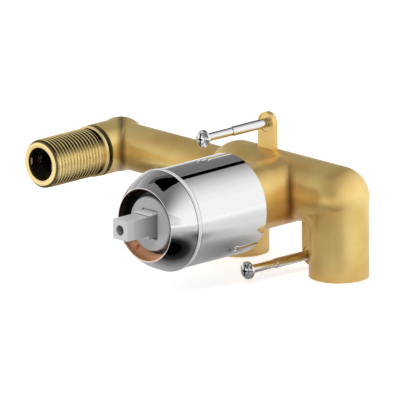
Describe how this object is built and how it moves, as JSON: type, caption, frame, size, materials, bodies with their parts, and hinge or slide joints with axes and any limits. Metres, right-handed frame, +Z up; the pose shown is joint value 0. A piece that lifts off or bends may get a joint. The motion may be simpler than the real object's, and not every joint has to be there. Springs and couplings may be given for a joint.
{
  "type": "concealed mixer valve",
  "caption": "Concealed single-lever mixer valve: cast body with downward inlets, side branch to a threaded spout nipple, chrome trim sleeve and dome over a tilting, turning cartridge stem.",
  "frame": {"origin": "on the valve axis, at the rear edge of the trim sleeve", "axes": "+X to the right along the cross pipe, +Y into the wall, +Z up; the lever stem points along -Y"},
  "size_m": [0.1556, 0.1147, 0.0634],
  "materials": {
    "cast_brass": "matt sand-cast, sealed",
    "polished_brass": "polished",
    "turned_brass": "turned",
    "chrome": "mirror",
    "zinc_steel": "bright zinc",
    "grey_plastic": "moulded",
    "white_plastic": "moulded",
    "ceramic": "lapped",
    "black_rubber": "moulded"
  },
  "bodies": {
    "body": {"valve_body": "cast_brass", "spout_nipple": "polished_brass", "nipple_seal": "black_rubber", "trim_sleeve": "chrome", "sleeve_o_ring_rear": "black_rubber", "sleeve_o_ring_front": "black_rubber", "dome_cap": "chrome", "cartridge_nut": "turned_brass", "cartridge_housing": "grey_plastic", "cartridge_base": "white_plastic", "fixed_ceramic_disc": "ceramic", "base_seal_left": "black_rubber", "base_seal_right": "black_rubber", "base_seal_outlet": "black_rubber", "plate_screw_upper": "zinc_steel", "plate_screw_lower": "zinc_steel", "spacer_tube_upper": "zinc_steel", "spacer_tube_lower": "zinc_steel"},
    "rotor": {"rotor": "grey_plastic", "rotor_o_ring": "black_rubber", "pivot_pin": "zinc_steel"},
    "stem": {"stem": "grey_plastic"},
    "disc": {"disc_carrier": "white_plastic", "moving_ceramic_disc": "ceramic"}
  },
  "joints": [
    {"name": "temperature_turn", "type": "hinge", "parent": "body", "child": "rotor", "pos_m": [0, -0.0446, 0], "axis": [0, -1, 0], "range_deg": [-50, 50]},
    {"name": "flow_tilt", "type": "hinge", "parent": "rotor", "child": "stem", "pos_m": [0, -0.0446, 0], "axis": [-1, 0, 0], "range_deg": [-12, 13]},
    {"name": "disc_slide", "type": "slide", "parent": "rotor", "child": "disc", "axis": [0, 0, -1], "range_m": [-0.00358, 0.00387]}
  ],
  "couplings": [
    {"joint": "disc_slide", "follows": "flow_tilt", "m_per_rad": 0.0166}
  ]
}
